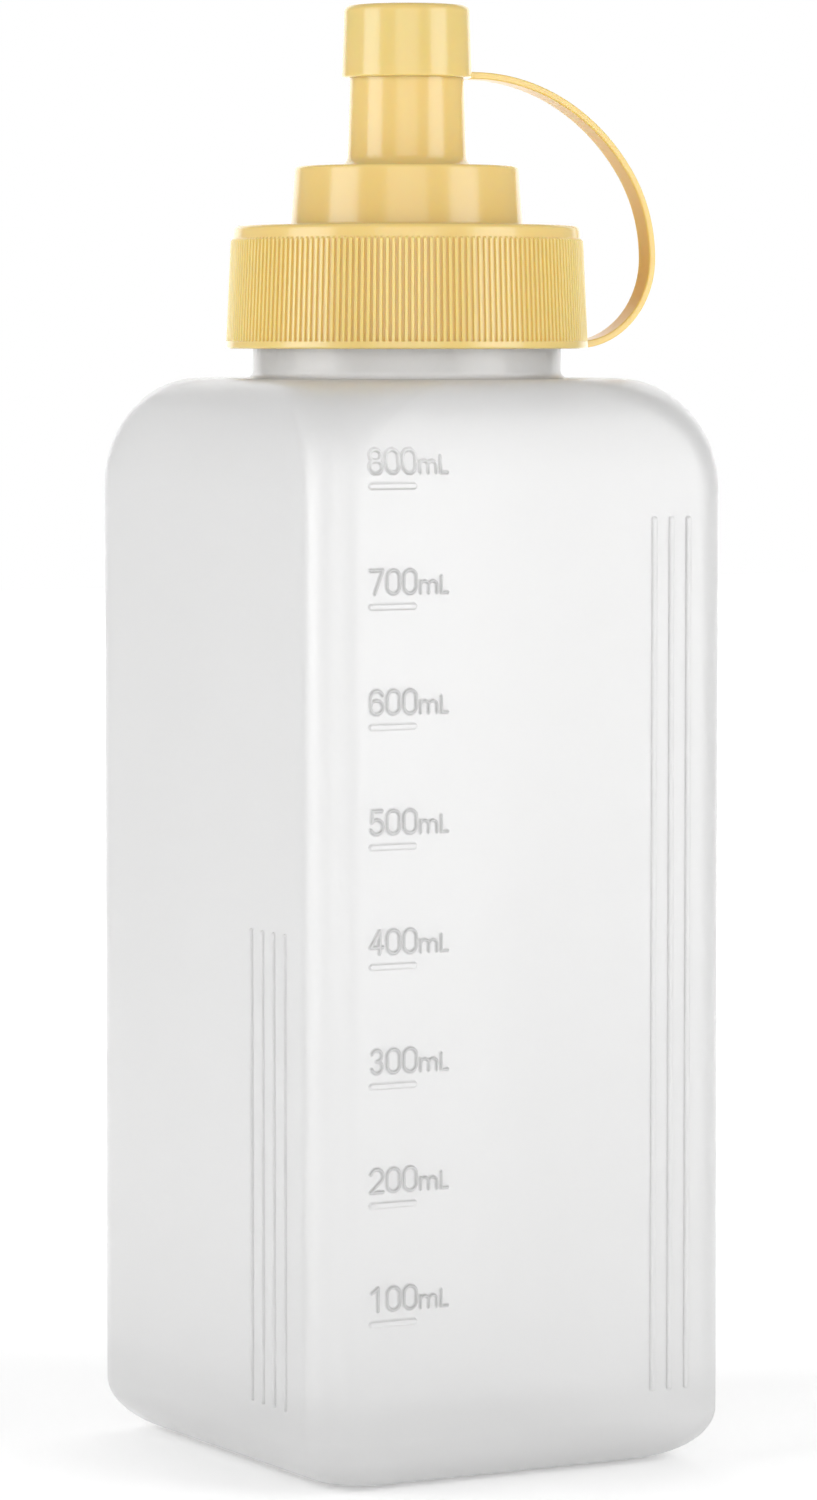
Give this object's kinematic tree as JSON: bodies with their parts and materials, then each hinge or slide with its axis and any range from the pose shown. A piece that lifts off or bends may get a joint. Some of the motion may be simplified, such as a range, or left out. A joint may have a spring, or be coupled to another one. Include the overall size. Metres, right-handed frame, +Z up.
{
  "type": "squeeze bottle",
  "caption": "Frosted rectangular squeeze bottle with a raised volume scale, a ribbed screw cap that carries a spout, and a tip cap held on a curved strap.",
  "frame": {"origin": "middle of the flat base, on the axis of the neck and the caps", "axes": "+Z up along the bottle, -Y out of the face with the scale, +X along the strap"},
  "size_m": [0.0828, 0.0808, 0.231],
  "materials": {
    "frosted_plastic": "milky translucent, softly glossy",
    "yellow_plastic": "pale yellow, glossy"
  },
  "bodies": {
    "root": {"bottle": "frosted_plastic", "screw_cap": "yellow_plastic", "tip_cap": "yellow_plastic"}
  },
  "joints": []
}
